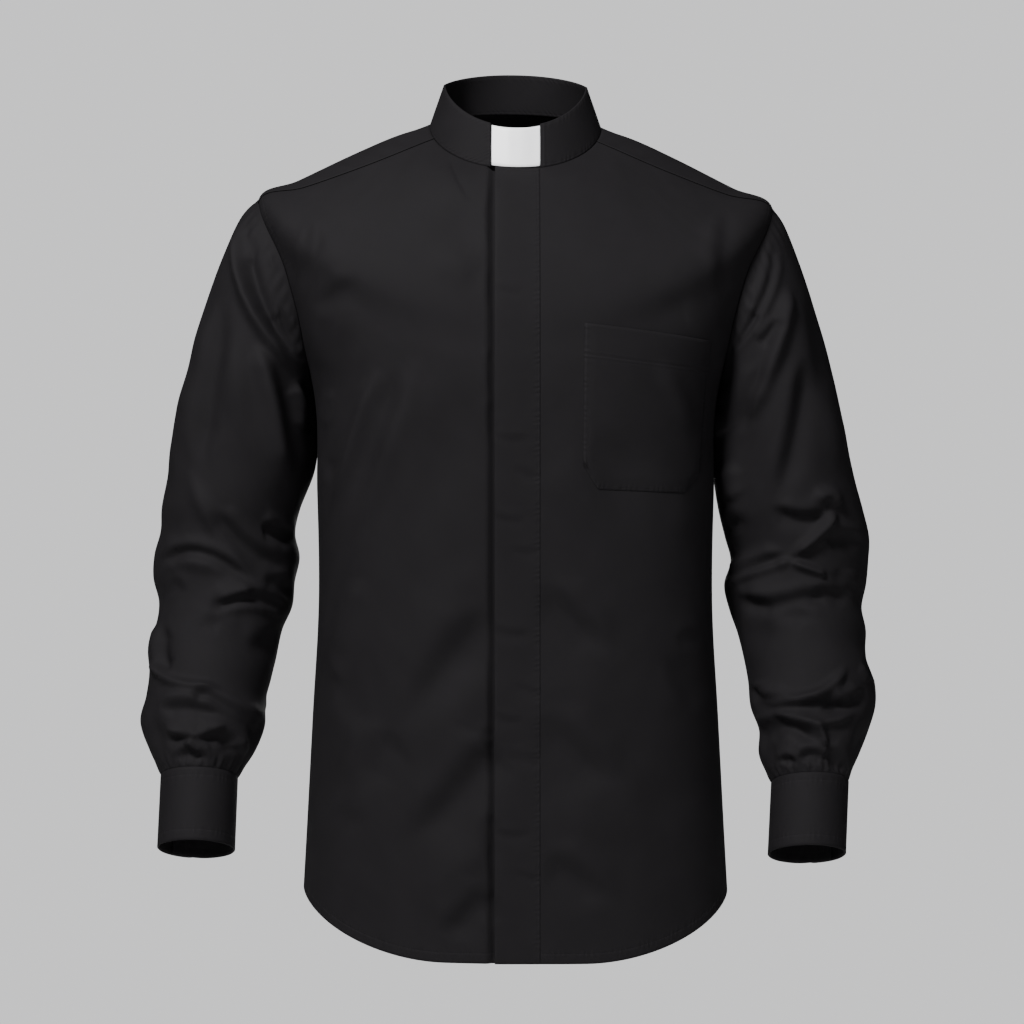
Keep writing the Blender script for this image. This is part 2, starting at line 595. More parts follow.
# %% a closed shell
def shell(name, outer, outs, thick, material, node, tube=False, edge=None, band=None, run=None):
    """A closed mesh from an outer grid in millimetres and its outward directions.
    Inner points are outer - thick * out. Where the cloth ends, a third row of points between the two
    bulges by 0.45 of the thickness, so that the edge is round. A tube's columns run round and meet.
    edge, band and run are distances in mm: to a stitched edge, to a second stitched line, and along
    the seam. The whole hangs by z = z - x * lean, lower on the wearer's left."""
    rows, columns, _ = outer.shape
    inner = outer - outs * thick
    count = rows * columns
    index = np.arange(count).reshape(rows, columns)
    wrapped = np.concatenate([index, index[:, :1]], 1) if tube else index
    a, b, c, d = wrapped[:-1, :-1], wrapped[:-1, 1:], wrapped[1:, 1:], wrapped[1:, :-1]
    quads = np.stack([a, d, c, b], -1).reshape(-1, 4)
    faces = [quads, quads[:, ::-1] + count]
    if tube:
        loops = [(index[0], outer[1] - outer[0]), (index[-1][::-1], (outer[-2] - outer[-1])[::-1])]
    else:
        ring = np.concatenate([index[0, :-1], index[:-1, -1], index[-1, :0:-1], index[:0:-1, 0]])
        loops = [(ring, inwards(outer).reshape(-1, 3)[ring])]
    points = [outer.reshape(-1, 3), inner.reshape(-1, 3)]
    source = [np.arange(count), np.arange(count)]
    start = 2 * count
    for ring, inward in loops:
        points.append((points[0][ring] + points[1][ring]) / 2 - unit(inward) * thick * TURNED_EDGE)
        source.append(ring)
        own = start + np.arange(len(ring))
        after, own_after = np.roll(ring, -1), np.roll(own, -1)
        faces.append(np.stack([ring, after, own_after, own], -1))
        faces.append(np.stack([own, own_after, after + count, ring + count], -1))
        start += len(ring)
    points, source, faces = np.concatenate(points), np.concatenate(source), np.concatenate(faces)
    p = points[faces]
    turns = np.cross(p[:, 1], p[:, 2]) + np.cross(p[:, 2], p[:, 3])
    if np.einsum("ij,ij->i", p[:, 0], turns).sum() < 0:  # the volume: faces have to look outwards
        faces = faces[:, ::-1]
    points[:, 2] -= points[:, 0] * (LEAN + SHOULDER_LEAN * ease((points[:, 2] + 330) / 150))
    mesh = bpy.data.meshes.new(name)
    mesh.vertices.add(len(points))
    mesh.vertices.foreach_set("co", (points * MM).ravel())
    mesh.loops.add(faces.size)
    mesh.loops.foreach_set("vertex_index", faces.ravel().astype(np.int32))
    mesh.polygons.add(len(faces))
    mesh.polygons.foreach_set("loop_start", np.arange(0, faces.size, 4, dtype=np.int32))
    mesh.update(calc_edges=True)
    mesh.polygons.foreach_set("use_smooth", np.ones(len(faces), bool))
    across = lengths(outer, 1)
    down = lengths(outer, 0)
    across -= across[:, columns // 2 : columns // 2 + 1]
    flat = np.stack([across, -down], -1).reshape(-1, 2)[source] * MM
    uv = mesh.uv_layers.new(name="weave")
    uv.data.foreach_set("uv", flat[faces.ravel()].ravel())
    for key, values in (("edge", edge), ("band", band), ("run", run)):
        layer = mesh.attributes.new(key, "FLOAT", "POINT")
        filled = np.broadcast_to(FAR if values is None else values, (rows, columns))
        layer.data.foreach_set("value", filled.ravel()[source].astype(np.float32))
    mesh.validate()
    piece = bpy.data.objects.new(name, mesh)
    bpy.context.scene.collection.objects.link(piece)
    mesh.materials.append(material)
    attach(piece, "root")
    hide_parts(node)
    wide, high = across.max() - across.min(), down.max()
    corner = outer[:, list(range(columns)) + [0]] if tube else outer
    one, two = corner[1:, 1:] - corner[:-1, :-1], corner[1:, :-1] - corner[:-1, 1:]
    area = np.linalg.norm(np.cross(one, two), axis=-1).sum() / 2
    print(f"{name}: {len(faces)} faces, {wide:.0f} x {high:.0f} mm, {area * MM * MM:.4f} m2")


# %% [markdown]
# ## Poplin
# Poplin is a plain weave with slightly thicker threads across. A weave could be woven from real
# threads, but at this size a bump of two crossing waves reads the same. Black cotton isn't a hole:
# it keeps a little light everywhere and a faint sheen at grazing angles. A stitched line draws the
# cloth together, so it shows as a shallow groove, small stitches and a pucker that wanders along it.
# The weave and the stitched line are each one group, so that every piece is sewn in the same way.


# %% helpers for materials
def put(tree, kind, **settings):
    """A new node, with its settings and plain socket values set by name."""
    node = tree.nodes.new(kind)
    for key, value in settings.items():
        if hasattr(node, key):
            setattr(node, key, value)
        else:
            node.inputs[key.replace("_", " ")].default_value = value
    return node


def join(tree, *pairs):
    """Links each pair of an output and an input."""
    for source, target in pairs:
        tree.links.new(source, target)


def sum_up(tree, operation, first, second=None, third=None):
    """The result of one sum on sockets or plain numbers."""
    node = tree.nodes.new("ShaderNodeMath")
    node.operation = operation
    for socket, value in zip(node.inputs, (first, second, third)):
        if isinstance(value, (int, float)):
            socket.default_value = value
        elif value is not None:
            tree.links.new(value, socket)
    return node.outputs[0]


def new_group(name, inputs, outputs):
    """A node group with named sockets, its first and last node, ready to be filled."""
    tree = bpy.data.node_groups.new(name, "ShaderNodeTree")
    for label, kind in inputs:
        tree.interface.new_socket(name=label, in_out="INPUT", socket_type=kind)
    for label, kind in outputs:
        tree.interface.new_socket(name=label, in_out="OUTPUT", socket_type=kind)
    return tree, tree.nodes.new("NodeGroupInput"), tree.nodes.new("NodeGroupOutput")


def use_group(tree, group):
    """A node that stands for the whole group."""
    return put(tree, "ShaderNodeGroup", node_tree=group)


def wave(tree, value, pitch):
    """sin(2 pi value / pitch)."""
    return sum_up(tree, "SINE", sum_up(tree, "MULTIPLY", value, 2 * math.pi / pitch))


def fall(tree, value, width):
    """1 on the line, smoothly to 0 at width from it."""
    node = put(tree, "ShaderNodeMapRange", interpolation_type="SMOOTHSTEP",
               From_Min=0.0, From_Max=width, To_Min=1.0, To_Max=0.0)
    join(tree, (value, node.inputs["Value"]))
    return node.outputs["Result"]


def between(tree, value, low, high):
    """low where the value is 0, high where it is 1."""
    node = put(tree, "ShaderNodeMapRange", To_Min=low, To_Max=high)
    join(tree, (value, node.inputs["Value"]))
    return node.outputs["Result"]


def new_surface(name):
    """A new material, its tree of nodes and its surface node."""
    material = bpy.data.materials.new(name)
    material.use_nodes = True
    return material, material.node_tree, material.node_tree.nodes["Principled BSDF"]


def set_inputs(node, **settings):
    """Sets sockets by name, with _ for a space."""
    for key, value in settings.items():
        node.inputs[key.replace("_", " ")].default_value = value


# %% the weave as a node group
WEFT = 1.35  # the threads across are this much thicker
weave, weave_in, weave_out = new_group(
    "plain weave",
    [("Cloth", "NodeSocketVector"), ("Thread", "NodeSocketFloat")],
    [("Height", "NodeSocketFloat"), ("Tone", "NodeSocketFloat")],
)
parts = put(weave, "ShaderNodeSeparateXYZ")
join(weave, (weave_in.outputs["Cloth"], parts.inputs[0]))
waves = []
for axis, pitch in ((0, 1.0), (1, WEFT)):
    threads = sum_up(weave, "DIVIDE", parts.outputs[axis], weave_in.outputs["Thread"])
    waves.append(wave(weave, threads, pitch))
crossed = sum_up(weave, "MULTIPLY", waves[0], waves[1])
slub = put(weave, "ShaderNodeTexNoise", Scale=900.0, Detail=2.0)
join(weave, (weave_in.outputs["Cloth"], slub.inputs["Vector"]))
height = sum_up(weave, "MULTIPLY_ADD", crossed, 0.5, slub.outputs["Fac"])
cloud = put(weave, "ShaderNodeTexNoise", Scale=28.0, Detail=4.0, Roughness=0.6)
join(weave, (weave_in.outputs["Cloth"], cloud.inputs["Vector"]))
join(weave, (height, weave_out.inputs["Height"]), (cloud.outputs["Fac"], weave_out.inputs["Tone"]))

# %% the stitched line as a node group, all in mm
STITCH, STITCH_LEVEL = 2.6, -0.45  # from stitch to stitch, and where on the wave the thread shows
GROOVE_REACH, THREAD_REACH, PUCKER_REACH = 1.5, 0.42, 6.5  # to each side of the line
PUCKER, PUCKER_PITCH = 0.75, 6.3
SWAY, SWAY_PITCH = 2.0, 27  # how far and how slowly the puckers wander

sewing, sewing_in, sewing_out = new_group(
    "stitched line",
    [("Distance", "NodeSocketFloat"), ("Run", "NodeSocketFloat")],
    [("Groove", "NodeSocketFloat"), ("Thread", "NodeSocketFloat")],
)
far = sum_up(sewing, "ABSOLUTE", sewing_in.outputs["Distance"])
run = sewing_in.outputs["Run"]
dash = sum_up(sewing, "GREATER_THAN", wave(sewing, run, STITCH), STITCH_LEVEL)
sway = sum_up(sewing, "MULTIPLY", wave(sewing, run, SWAY_PITCH), SWAY)
waver = sum_up(sewing, "SINE", sum_up(sewing, "MULTIPLY_ADD", run, 2 * math.pi / PUCKER_PITCH, sway))
pucker = sum_up(sewing, "MULTIPLY", waver, fall(sewing, far, PUCKER_REACH))
groove = sum_up(sewing, "MULTIPLY_ADD", pucker, PUCKER, fall(sewing, far, GROOVE_REACH))
thread = sum_up(sewing, "MULTIPLY", fall(sewing, far, THREAD_REACH), dash)
join(sewing, (groove, sewing_out.inputs["Groove"]), (thread, sewing_out.inputs["Thread"]))

# %% the cloth's material
BLACK = (0.0088, 0.0081, 0.0090)
THREAD = 0.00034  # m from thread to thread
WEAVE_HIGH, GROOVE_DEEP, STITCH_HIGH = 0.03, 0.15, 0.08  # mm
SEWN_TONE = 1.7  # sewing thread is this much lighter than the cloth


def poplin(name, edge_lines=(), band_line=False):
    """Black poplin with its sewing: edge_lines are the insets in mm of lines along stitched edges,
    and band_line adds the second line. Height = 0.03 weave - 0.15 groove + 0.08 thread, in mm."""
    material, tree, surface = new_surface(name)
    cloth = put(tree, "ShaderNodeUVMap", uv_map="weave")
    woven = use_group(tree, weave)
    set_inputs(woven, Thread=THREAD)
    join(tree, (cloth.outputs["UV"], woven.inputs["Cloth"]))
    along = put(tree, "ShaderNodeAttribute", attribute_name="run")
    height = sum_up(tree, "MULTIPLY", woven.outputs["Height"], WEAVE_HIGH)
    mask = None
    for key, inset in [("edge", inset) for inset in edge_lines] + [("band", 0.0)] * band_line:
        at = put(tree, "ShaderNodeAttribute", attribute_name=key)
        sewn = use_group(tree, sewing)
        join(
            tree,
            (sum_up(tree, "SUBTRACT", at.outputs["Fac"], inset), sewn.inputs["Distance"]),
            (along.outputs["Fac"], sewn.inputs["Run"]),
        )
        stitches = sewn.outputs["Thread"]
        height = sum_up(tree, "MULTIPLY_ADD", sewn.outputs["Groove"], -GROOVE_DEEP, height)
        height = sum_up(tree, "MULTIPLY_ADD", stitches, STITCH_HIGH, height)
        mask = stitches if mask is None else sum_up(tree, "MAXIMUM", mask, stitches)
    bump = put(tree, "ShaderNodeBump", Strength=1.0, Distance=MM)
    join(tree, (height, bump.inputs["Height"]), (bump.outputs["Normal"], surface.inputs["Normal"]))
    base = put(tree, "ShaderNodeMix", data_type="RGBA", blend_type="MULTIPLY")
    set_inputs(base, Factor=1.0, A=(*BLACK, 1))
    join(tree, (between(tree, woven.outputs["Tone"], 0.82, 1.18), base.inputs["B"]))
    result = base.outputs["Result"]
    if mask is not None:
        sewn_colour = put(tree, "ShaderNodeMix", data_type="RGBA")
        set_inputs(sewn_colour, B=(*[c * SEWN_TONE for c in BLACK], 1))
        join(tree, (mask, sewn_colour.inputs["Factor"]), (result, sewn_colour.inputs["A"]))
        result = sewn_colour.outputs["Result"]
    rough = between(tree, woven.outputs["Tone"], 0.66, 0.8)
    join(tree, (result, surface.inputs["Base Color"]), (rough, surface.inputs["Roughness"]))
    set_inputs(surface, Specular_IOR_Level=0.06, Sheen_Weight=0.002, Sheen_Roughness=0.45,
               Sheen_Tint=(0.85, 0.84, 0.9, 1))
    return material


HEM_LINE = 8.5  # mm from the edge to the sewing of hems and armholes
front_cloth = poplin("black poplin fronts", edge_lines=(HEM_LINE,))
plain_cloth = poplin("black poplin")
pocket_cloth = poplin("black poplin pocket", edge_lines=(1.6,), band_line=True)
strip_cloth = poplin("black poplin strips", edge_lines=(1.8,))
cuff_cloth = poplin("black poplin cuffs", edge_lines=(HEM_LINE,), band_line=True)
collar_cloth = poplin("black poplin collar", edge_lines=(1.8,))
print("materials", len(bpy.data.materials))

# %% [markdown]
# ## Fronts
# Each front is a panel from the closing to the armhole and side seam, cut level at the hem and
# rising to the sides. It could be draped flat cloth, but then its edges would wander from the seams.
# Here its rows and columns are spread between its own four edges: closing, neck and yoke seam,
# armhole and side seam, hem. The right front runs on under the left one's placket and sinks inwards
# there, where the hidden buttons lie.

# %% places of the fronts
NEAR_HEM = 11.0  # girth line that the closing's angle at the hem is read from


def front_places(side, edge, fly_edge, rows, columns):
    """Girth line and angle for each point of a front. Rows i = 0..27: 13 down the armhole, 14 to the
    hem. Columns j = -2..12: two under the placket, five along the neck, seven along the yoke seam.
    Above the underarm a point is mixed between closing and armhole, and the bow of the neck and
    yoke seam is added to it, fading as (1 - k)^1.5 down the rows. Below, it is mixed straight."""
    i, j = np.meshgrid(rows, columns, indexing="ij")
    on_hole = np.minimum(i, FRONT_ROWS)
    k, down = np.minimum(i / FRONT_ROWS, 1), np.maximum(i - FRONT_ROWS, 0) / SKIRT_ROWS
    hole_line, hole_around = armhole(YOKE_FRONT + on_hole * ROW_TURN)
    corner_line, corner_around = armhole(YOKE_FRONT)
    fade = (1 - k) ** 1.5
    u = np.clip(j / FRONT_COLUMNS, 0, 1)
    closing = fly_edge * side
    first_around = around_at(1.0, closing)
    inner = around_at(np.maximum(UNDERARM_LINE * k, 1), closing)
    neck_start = around_at(0.0, closing)
    on_neck = j < NECK_COLUMNS
    seam_share = np.clip((j - NECK_COLUMNS) / (FRONT_COLUMNS - NECK_COLUMNS), 0, 1)
    seam_line, seam_around = yoke_seam(seam_share)
    top_line = np.where(on_neck, 0, seam_line)
    neck_around = mix(neck_start, YOKE_SEAM["around"][0], j / NECK_COLUMNS)
    top_around = np.where(on_neck, neck_around, seam_around)
    line = mix(UNDERARM_LINE * k, hole_line, u) + fade * (top_line - u * corner_line)
    around = mix(inner, hole_around, u)
    around = around + fade * (top_around - mix(first_around, corner_around, u))
    first = around_at(UNDERARM_LINE * k, closing) - inner - fade * (neck_start - first_around)
    around = around + first * (1 - u) ** 4
    skirt = mix(UNDERARM_LINE, hem_line(mix(around_at(NEAR_HEM, closing), 90, u)), down)
    line = np.where(down > 0, skirt, line)
    around = np.where(down > 0, mix(around_at(skirt, closing), 90, u), around)
    x = mix(edge, fly_edge, (j + FLY_COLUMNS) / FLY_COLUMNS)
    strip_skirt = mix(UNDERARM_LINE, hem_line(around_at(NEAR_HEM, x)), down)
    strip_line = np.where(down > 0, strip_skirt, UNDERARM_LINE * k)
    line = np.where(j < 0, strip_line, line)
    around = np.where(j < 0, around_at(strip_line, x) * side, around)
    return line, around * side


def fine(coarse_rows, coarse_columns, place, step=STEP):
    """Row and column numbers for a fine grid: each coarse cell is cut so that its longest side is
    no more than a step."""
    points = place(np.asarray(coarse_rows, float), np.asarray(coarse_columns, float))
    high = np.linalg.norm(np.diff(points, axis=0), axis=-1).max(1)
    wide = np.linalg.norm(np.diff(points, axis=1), axis=-1).max(0)

    def cut(marks, sizes):
        counts = [max(int(math.ceil(size / step)), 1) for size in sizes]
        runs = [np.linspace(a, b, n, endpoint=False) for a, b, n in zip(marks[:-1], marks[1:], counts)]
        return np.append(np.concatenate(runs), marks[-1])

    return cut(coarse_rows, high), cut(coarse_columns, wide)


# %% the two fronts
UNDER_FLY = CLOTH + BUTTON_SPACE + 1.7  # how far the right front sinks under the placket
SINK_X, SINK_WIDE = -25.5, 5  # where it starts to sink, and over what width


def under_fly(x):
    """The right front lies lower where the left front and its placket cover it."""
    return -UNDER_FLY * ease((x - SINK_X) / SINK_WIDE)


def build_front(word, side, edge, fly_edge, lift):
    """Cuts a front into fine rows and columns, lifts it, and gives back its row numbers."""
    def place(rows, columns):
        return body(*front_places(side, edge, fly_edge, rows, columns))

    rows = range(FRONT_ROWS + SKIRT_ROWS + 1)
    rows, columns = fine(rows, range(-FLY_COLUMNS, FRONT_COLUMNS + 1), place)
    points = place(rows, columns)
    points, outs = raised(points, square_to(points, FRONT), lift(points[..., 0]), FRONT)
    across, down = lengths(points, 1), lengths(points, 0)
    from_arm = across[:, -1:] - across
    from_hem = down[-1:] - down
    sewn = np.minimum(np.where(rows[:, None] <= FRONT_ROWS, from_arm, FAR), from_hem)
    shell(f"{word}_front_cloth", pull_in(points), outs, THIN, front_cloth, f"{word}_front",
          edge=sewn, run=np.where(from_hem < from_arm, across, down))
    return rows


build_front("right", -1, RIGHT_FRONT_EDGE, -RIGHT_FLY_COLUMN, under_fly)
left_rows = build_front("left", 1, LEFT_FRONT_EDGE, FLY_TO, np.zeros_like)

# %% [markdown]
# ## Placket, pocket, yoke and back
# The placket is a folded strip over the hidden buttons. It lies on the left front, and between its
# buttons it dips a little, so it has small folds of its own. The pocket is a flat patch with a
# sewn-down band and two cut corners. The yoke goes over both shoulders in one piece, and the back
# hangs from it. Each could be modelled apart and then pushed on to the body. Here each takes its
# points from the body's own surface, so that it bends and folds with what lies under it.

# %% the fly placket
FLY_FOLDS = table(FOLD_COLUMNS, """
    -22 -8 8 -156 -160 -161 4 -0.5 0.2
    -22 -4 14 -284 -290 -287 4 -0.7 0.2
    -4 10 25 -314 -320 -324 4 -0.6 0.2
    -22 -6 10 -355 -361 -360 4 -0.7 0.2
    -8 8 25 -384 -389 -386 4 -0.6 0.2
    -22 -4 16 -454 -461 -458 5 -0.9 0.2
    -2 12 25 -504 -511 -515 4 -0.7 0.2
    -22 -8 8 -530 -537 -536 4 -0.8 0.2
    -6 8 25 -564 -571 -568 5 -0.8 0.2
    -22 -4 14 -632 -638 -634 4 -0.8 0.2
    -4 10 25 -667 -674 -676 4 -0.7 0.2
""")


def build_fly():
    """The strip takes the left front's rows, stands off the edge by two layers and lies down
    towards its sewn side: lift = mix(2.4, 0.45, ease(1.05 share))."""
    columns = np.linspace(-FLY_COLUMNS, 0, 18)
    points = body(*front_places(1, FLY_FROM, FLY_TO, left_rows, columns))
    share = (columns + FLY_COLUMNS) / FLY_COLUMNS
    lift = mix(LAY + CLOTH + 0.9, 0.45, ease(share * 1.05))
    lift = lift + fold_height(FLY_FOLDS, points[..., 0], points[..., 2], FRONT_UP)
    points, outs = raised(points, square_to(points, FRONT), lift, FRONT)
    across, down = lengths(points, 1), lengths(points, 0)
    shell("fly_placket_cloth", pull_in(points), outs, THIN, strip_cloth, "fly_placket",
          edge=np.minimum(across[:, -1:] - across, down), run=down)


build_fly()

# %% the pocket
POCKET_LIFT, POCKET_LOOSE = 0.55, 0.9  # at its sewn edge, and what its middle adds over 12 mm


def build_pocket():
    """A four-sided patch: rows are mixed from its top to its foot, and end higher at the corners."""
    i, u = np.meshgrid(np.linspace(0, 1, 54), np.linspace(0, 1, 46), indexing="ij")
    corner = np.maximum(0, 1 - np.minimum(u, 1 - u) / POCKET_CUT_ACROSS)
    down = i * (1 - POCKET_CUT_UP * corner)
    top, foot = np.array(POCKET_TOP, float), np.array(POCKET_FOOT, float)
    x, z = (mix(mix(*top[:, n], u), mix(*foot[:, n], u), down) for n in (0, 1))
    line = line_at(x, z)
    points = body(line, around_at(line, x))
    across, run = lengths(points, 1), lengths(points, 0)
    side, low = from_sides(across), run[-1:] - run
    from_edge = np.minimum(side, low)
    lift = POCKET_LIFT + POCKET_LOOSE * ease(from_edge / 12)
    points, outs = raised(points, square_to(points, FRONT), lift, FRONT)
    shell("pocket_cloth", points, outs, THIN, pocket_cloth, "pocket",
          edge=from_edge, band=run - POCKET_BAND, run=np.where(low < side, across, run))


build_pocket()


# %% the yoke
def build_yoke():
    """Rows i = 0..7 from the neck to the outer seams, columns j = -16..16 round the back of the neck
    from one front seam to the other: ten each side on the back seam, six on the armhole."""
    def place(rows, columns):
        i, j = np.meshgrid(rows, columns, indexing="ij")
        v, column = i / YOKE_ROWS, np.abs(j)
        u = column / YOKE_COLUMNS
        on_seam = column <= BACK_COLUMNS
        seam = back_seam(np.minimum(column / BACK_COLUMNS, 1))
        hole = armhole(-YOKE_BACK + np.maximum(column - BACK_COLUMNS, 0) * ROW_TURN)
        outer_line = np.where(on_seam, seam[0], hole[0])
        outer_around = np.where(on_seam, seam[1], hole[1])
        front_around = yoke_seam(v)[1]
        straight = mix(YOKE_SEAM["around"][0], armhole(YOKE_FRONT)[1], v)
        around = mix(mix(180, YOKE_SEAM["around"][0], u), outer_around, v)
        around = around + u**3 * (front_around - straight)
        return body(outer_line * v, around * np.where(j < 0, -1, 1))

    columns = range(-YOKE_COLUMNS, YOKE_COLUMNS + 1)
    rows, columns = fine(range(YOKE_ROWS + 1), columns, place, HIDDEN_STEP)
    points = place(rows, columns)
    outs = square_to(points, UP)
    down, across = lengths(points, 0), lengths(points, 1)
    edge = np.where(np.abs(columns)[None, :] > BACK_COLUMNS, down[-1:] - down, FAR)
    ridge = 0.9 * np.exp(-from_sides(across) / 5)  # the front seams' turned-in cloth
    shell("yoke_cloth", pull_in(points + outs * ridge[..., None]), outs, THIN, front_cloth, "yoke",
          edge=edge, run=across)


build_yoke()


# %% the back
def build_back():
    """Rows i = 0..25: 11 down the armhole, 14 to the hem. Columns j = -10..10 from side to side."""
    def place(rows, columns):
        i, j = np.meshgrid(rows, columns, indexing="ij")
        u, k = np.abs(j) / BACK_COLUMNS, np.minimum(i / BACK_ROWS, 1)
        hole_line, hole_around = armhole(-YOKE_BACK - np.minimum(i, BACK_ROWS) * ROW_TURN)
        down = np.maximum(i - BACK_ROWS, 0) / SKIRT_ROWS
        top_line, _ = back_seam(u)
        around = mix(180, hole_around, u)
        straight = mix(YOKE_CENTRE, back_seam(1.0)[0], u)
        line = mix(mix(YOKE_CENTRE, UNDERARM_LINE, k), hole_line, u) + (1 - k) * (top_line - straight)
        line = np.where(down > 0, mix(UNDERARM_LINE, hem_line(around), down), line)
        return body(line, around * np.where(j < 0, -1, 1))

    rows, columns = range(BACK_ROWS + SKIRT_ROWS + 1), range(-BACK_COLUMNS, BACK_COLUMNS + 1)
    rows, columns = fine(rows, columns, place, HIDDEN_STEP)
    points = place(rows, columns)
    across, down = lengths(points, 1), lengths(points, 0)
    from_arm, from_hem = from_sides(across), down[-1:] - down
    sewn = np.minimum(np.where(rows[:, None] <= BACK_ROWS, from_arm, FAR), from_hem)
    shell("back_cloth", pull_in(points), square_to(points, BACK), THIN, front_cloth, "back",
          edge=sewn, run=np.where(from_hem < from_arm, across, down))


build_back()

# %% [markdown]
# ## Sleeves
# A sleeve is one piece of cloth, seamed to a tube. It could be bent from a straight tube with bones,
# but the cloth inside an elbow would then cross itself. Here it is a row of sections down the arm, and
# its head takes the armhole's own line. The folds of the elbow and of the fullness above the cuff
# are rows of the tables above. Small ripples stand at both ends, where a longer edge is eased into a
# shorter one.


# %% the surface of a sleeve
def on_section(side, section, turn):
    """A point of a plain section: turn 0 is the outer line of the arm, 90 the front.
    point = middle + cos(turn) * half the way from inn to out + sin(turn) * deep * forward."""
    out, inn, out_z, inn_z = (section[key] for key in ("out", "inn", "out_z", "inn_z"))
    across = np.stack([out - inn, 0 * out, out_z - inn_z], -1)
    half = np.linalg.norm(across, axis=-1, keepdims=True) / 2
    pitch = np.radians(section["pitch"])
    middle = np.stack([(out + inn) / 2, section["y"], (out_z + inn_z) / 2], -1)
    forward = np.stack([0 * pitch, -np.cos(pitch), np.sin(pitch)], -1)
    c, s = np.cos(np.radians(turn))[..., None], np.sin(np.radians(turn))[..., None]
    point = middle + unit(across) * half * c + forward * section["deep"][..., None] * s
    return point * np.array([side, 1, 1])


HEAD_GAP = 0.42  # from the body's edge to the sleeve's
HEAD_END = 5  # section where the armhole's line no longer shapes the sleeve


def sleeve_edge(side, turn):
    """The sleeve's edge at the armhole: beside the body's edge over the shoulder, and folded down
    along its outside at the underarm. With f from 0 at the top to pi at the underarm:
    edge = body + gap * (cos(f / 2) away + sin(f / 2) out)."""
    line, around = armhole(turn)
    next_line, next_around = armhole(turn + 1)
    here, ahead = body(line, around * side), body(next_line, next_around * side)
    out = out_of(body, line, around, side)
    away = unit(np.cross(unit(ahead - here), out))
    within = body(mix(line, HOLE_LINE, 0.05), mix(around, 90, 0.05) * side) - here
    away = away * np.where((away * within).sum(-1, keepdims=True) < 0, -1, 1)
    fold = np.pi * ease((1 - np.cos(np.radians(turn))) / 2)
    return here + HEAD_GAP * (away * np.cos(fold / 2)[..., None] + out * np.sin(fold / 2)[..., None])


WALL_MOVE = 1.1  # how far the inner wall hangs towards the body
SLIT_MOVE, SLIT_Z, SLIT_HIGH = 1.9, -245, 7.5  # and further still just below the underarm


def plain_sleeve(word, side, place, turn):
    """The sleeve without folds. Its head is drawn to the armhole by (1 - place / 5)^2 of the gap
    between the two, and its inner wall is moved by 1.1 + 1.9 exp(-((z + 245) / 7.5)^2)."""
    sections = SLEEVE[word]
    point = on_section(side, read_table(sections, place), turn)
    share = (1 - np.clip(place / HEAD_END, 0, 1)) ** 2
    first = {key: values[0] + 0 * turn[0] for key, values in sections.items()}
    edge = sleeve_edge(side, turn[0]) - on_section(side, first, turn[0])
    point = point + edge[None] * share[..., None]
    inner = ease((-np.cos(np.radians(turn)) - 0.6) / 0.4)
    inner = inner * ease(place / 0.8) * ease((7.4 - place) / 0.9)
    slit = np.exp(-(((point[..., 2] - SLIT_Z) / SLIT_HIGH) ** 2))
    point[..., 0] -= side * inner * (WALL_MOVE + SLIT_MOVE * slit)
    return point


# %% folds, ripples and gathers on a sleeve
HEAD_RIPPLES = ((1, 41, 0), (0.6, 29, 40))  # size, waves round the sleeve, and their start in degrees
CUFF_GATHERS = ((1, 23, 0), (0.7, 37, 70))
RIPPLE_HIGH, GATHER_HIGH = 0.35, 0.45


def ripples(waves, turn):
    """The sum of size * sin(count * turn + start)."""
    return sum(size * np.sin(np.radians(turn * count + start)) for size, count, start in waves)


def folded_sleeve(word, side, place, turn):
    """The sleeve with its folds, those of the front half and of the hidden back half, which sink to
    nothing at its two ends, and with the ripples at its head and the gathers at its cuff."""
    point = plain_sleeve(word, side, place, turn)
    out = square_to(point, point - point.mean(1, keepdims=True), tube=True)
    forward = np.sin(np.radians(turn))
    x, z = np.abs(point[..., 0]), point[..., 2]
    rise = ease(forward * 3) * SLEEVE_RISE * fold_height(SLEEVE_FOLDS[word], x, z, FRONT_UP * side)
    rise = rise + ease(-forward * 3) * fold_height(SLEEVE_BACK_FOLDS, x, z, BACK_UP)
    rise = rise * ease(place / 2) * ease((SLEEVE_END - place) / 0.8)
    head = ease(place / 0.5) * ease((1.6 - place) / 1.1)
    foot = ease((place - 18.6) / 0.9) * ease((SLEEVE_END - place) / 0.35)
    rise = rise + RIPPLE_HIGH * ripples(HEAD_RIPPLES, turn) * head
    rise = rise + GATHER_HIGH * ripples(CUFF_GATHERS, turn) * foot
    return point + out * rise[..., None]


# %% the two sleeves
FINE_HEAD = 6  # sections of the head, drawn with finer rows
sleeve_grids = {}
for word, side in SIDES:
    head_rows = np.linspace(0, FINE_HEAD, 86)[:-1]
    rows = np.concatenate([head_rows, np.linspace(FINE_HEAD, SLEEVE_END, 142)])
    turns = np.arange(0, 360, 2.0)
    points = folded_sleeve(word, side, *np.meshgrid(rows, turns, indexing="ij"))
    outs = square_to(points, points - points.mean(1, keepdims=True), tube=True)
    sleeve_grids[word] = (rows, turns, points, outs)
    shell(f"{word}_sleeve_cloth", points, outs, THIN, plain_cloth, f"{word}_sleeve", tube=True,
          edge=lengths(points, 0), run=lengths(points, 1))


# %% [markdown]
# ## Cuffs, plackets and buttons
# A barrel cuff is a stiff doubled band that laps over itself and is held by one button. It could be
# a ring with a second piece laid on it for the lap, but a real cuff is one piece of cloth. Here one
# long strip winds round the forearm a little more than once, and its start lies over its end. The
# slit above it is finished with a folded strip, laid on the sleeve. The button is turned like a real
# one: a rim round a sunk middle, and four holes.

